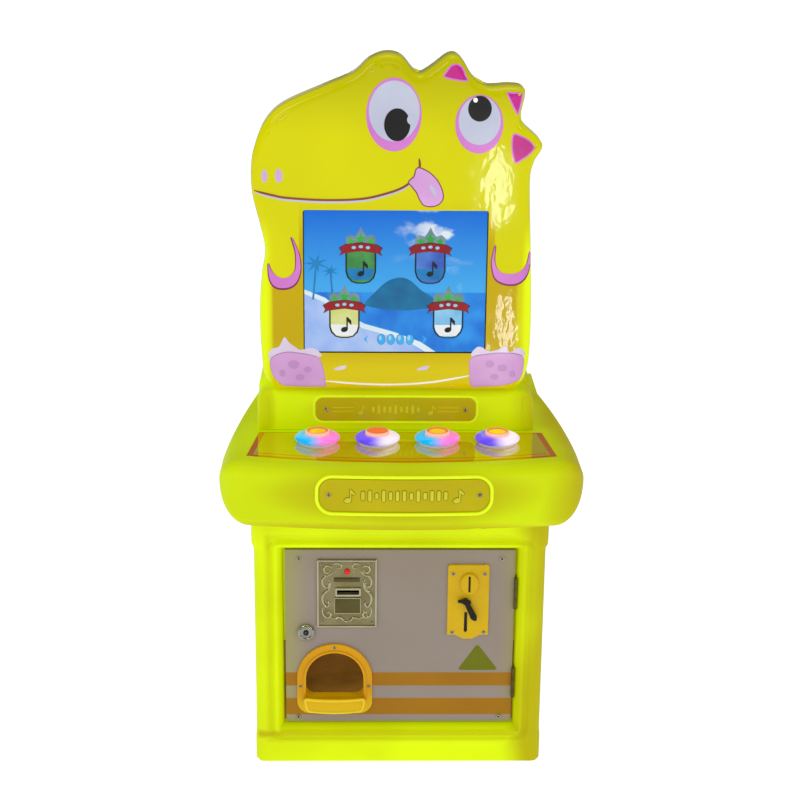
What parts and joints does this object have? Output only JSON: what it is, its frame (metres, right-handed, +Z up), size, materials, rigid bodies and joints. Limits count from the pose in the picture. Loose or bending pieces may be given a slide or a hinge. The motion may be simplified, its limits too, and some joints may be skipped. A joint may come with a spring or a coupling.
{
  "type": "dance rhythm machine",
  "caption": "Small coin-operated rhythm game cabinet with a row of lit push buttons, a screen in a cartoon animal head, and a hinged service door with coin slot, ticket slot and prize outlet.",
  "frame": {"origin": "on the floor, at the middle of the cabinet's bounding box", "axes": "+Z up, front faces -Y, +X to the viewer's right"},
  "size_m": [0.564, 0.5, 1.16],
  "materials": {
    "glow_plastic": "translucent yellow-green moulding lit from inside",
    "head_plastic": "glossy printed vacuum-formed sheet",
    "panel_print": "glossy printed panel with an orange border",
    "door_face": "greyish white with two orange bands",
    "screen_glass": "clear flat glass",
    "lcd_picture": "lit picture of a seaside",
    "circuit_board": "green solder mask",
    "black_plastic": "fine matt moulding",
    "black_rubber": "matt",
    "plywood": "varnished plywood",
    "zinc_sheet": "zinc plated sheet",
    "hinge_steel": "plated steel",
    "bright_screw": "nickel plated",
    "gold_plate": "bright gilt finish",
    "lock_chrome": "polished",
    "coin_yellow": "smooth moulding",
    "outlet_orange": "smooth moulding",
    "lamp_strip": "white strip with lamps",
    "led_red": "clear red lamp",
    "rocker_red": "smooth",
    "lens_cyan_pink": "lit lens, cyan on one side and pink on the other",
    "lens_violet_white": "lit lens, violet on one side and white on the other",
    "cap_orange": "smooth cap with a darker ring"
  },
  "bodies": {
    "cabinet": {"ac_inlet": "black_plastic", "base_shell": "glow_plastic", "button_1_spring": "hinge_steel", "button_2_spring": "hinge_steel", "button_3_spring": "hinge_steel", "button_4_spring": "hinge_steel", "button_housings": "black_plastic", "button_nuts": "black_plastic", "button_switches": "black_plastic", "coin_box": "zinc_sheet", "console_collar": "glow_plastic", "console_plaque": "glow_plastic", "console_shell": "glow_plastic", "control_panel": "panel_print", "floor_board": "plywood", "head_back": "head_plastic", "head_front": "head_plastic", "hinge_fixed_leaves": "hinge_steel", "hinge_pins": "hinge_steel", "lcd_bracket": "zinc_sheet", "lcd_panel": "lcd_picture", "led_strips": "lamp_strip", "levelling_feet": "black_rubber", "main_board": "circuit_board", "neck_plaque": "glow_plastic", "neck_shell": "glow_plastic", "plaque_screws": "bright_screw", "plinth": "glow_plastic", "power_supply": "zinc_sheet", "prize_bin": "plywood", "rear_cover": "zinc_sheet", "rear_screws": "bright_screw", "screen_glass": "screen_glass", "speakers": "black_plastic", "wiring_harness": "black_plastic"},
    "service_door": {"door_panel": "door_face", "door_screws": "bright_screw", "hinge_moving_leaves": "hinge_steel", "ticket_plate": "gold_plate", "ticket_bezel": "gold_plate", "ticket_led": "led_red", "ticket_dispenser": "black_plastic", "coin_plate": "coin_yellow", "coin_ring": "coin_yellow", "coin_mech": "black_plastic", "trim_screws": "bright_screw", "prize_outlet": "outlet_orange", "lock_barrel": "lock_chrome"},
    "lock_cam": {"lock_cam": "lock_chrome"},
    "ticket_roller": {"ticket_roller": "black_rubber"},
    "coin_lever": {"coin_lever": "black_plastic"},
    "power_rocker": {"power_rocker": "rocker_red"},
    "button_1": {"button_1_lens": "lens_cyan_pink", "button_1_cap": "cap_orange"},
    "button_2": {"button_2_lens": "lens_violet_white", "button_2_cap": "cap_orange"},
    "button_3": {"button_3_lens": "lens_cyan_pink", "button_3_cap": "cap_orange"},
    "button_4": {"button_4_lens": "lens_violet_white", "button_4_cap": "cap_orange"}
  },
  "joints": [
    {"name": "door_hinge", "type": "hinge", "parent": "cabinet", "child": "service_door", "pos_m": [0.18875, -0.1295, 0.223], "axis": [0, 0, 1], "range_deg": [0, 110]},
    {"name": "lock_turn", "type": "hinge", "parent": "service_door", "child": "lock_cam", "pos_m": [-0.1524, -0.126, 0.2319], "axis": [0, 1, 0], "range_deg": [-90, 0]},
    {"name": "roller_spin", "type": "hinge", "parent": "service_door", "child": "ticket_roller", "pos_m": [-0.0837, -0.106, 0.2983], "axis": [1, 0, 0], "continuous": true},
    {"name": "coin_return", "type": "hinge", "parent": "service_door", "child": "coin_lever", "pos_m": [0.107, -0.1295, 0.2895], "axis": [0, 1, 0], "range_deg": [0, 25], "stiffness_Nm_per_rad": 0.05, "springref_deg": -17.19},
    {"name": "rocker_tilt", "type": "hinge", "parent": "cabinet", "child": "power_rocker", "pos_m": [0.186, 0.2475, 0.097], "axis": [1, 0, 0], "range_deg": [-16, 0]},
    {"name": "button_1_press", "type": "slide", "parent": "cabinet", "child": "button_1", "axis": [0, 0, -1], "range_m": [0, 0.004], "stiffness_N_per_m": 400, "springref_m": -0.002, "deforming": ["button_1_spring"]},
    {"name": "button_2_press", "type": "slide", "parent": "cabinet", "child": "button_2", "axis": [0, 0, -1], "range_m": [0, 0.004], "stiffness_N_per_m": 400, "springref_m": -0.002, "deforming": ["button_2_spring"]},
    {"name": "button_3_press", "type": "slide", "parent": "cabinet", "child": "button_3", "axis": [0, 0, -1], "range_m": [0, 0.004], "stiffness_N_per_m": 400, "springref_m": -0.002, "deforming": ["button_3_spring"]},
    {"name": "button_4_press", "type": "slide", "parent": "cabinet", "child": "button_4", "axis": [0, 0, -1], "range_m": [0, 0.004], "stiffness_N_per_m": 400, "springref_m": -0.002, "deforming": ["button_4_spring"]}
  ]
}
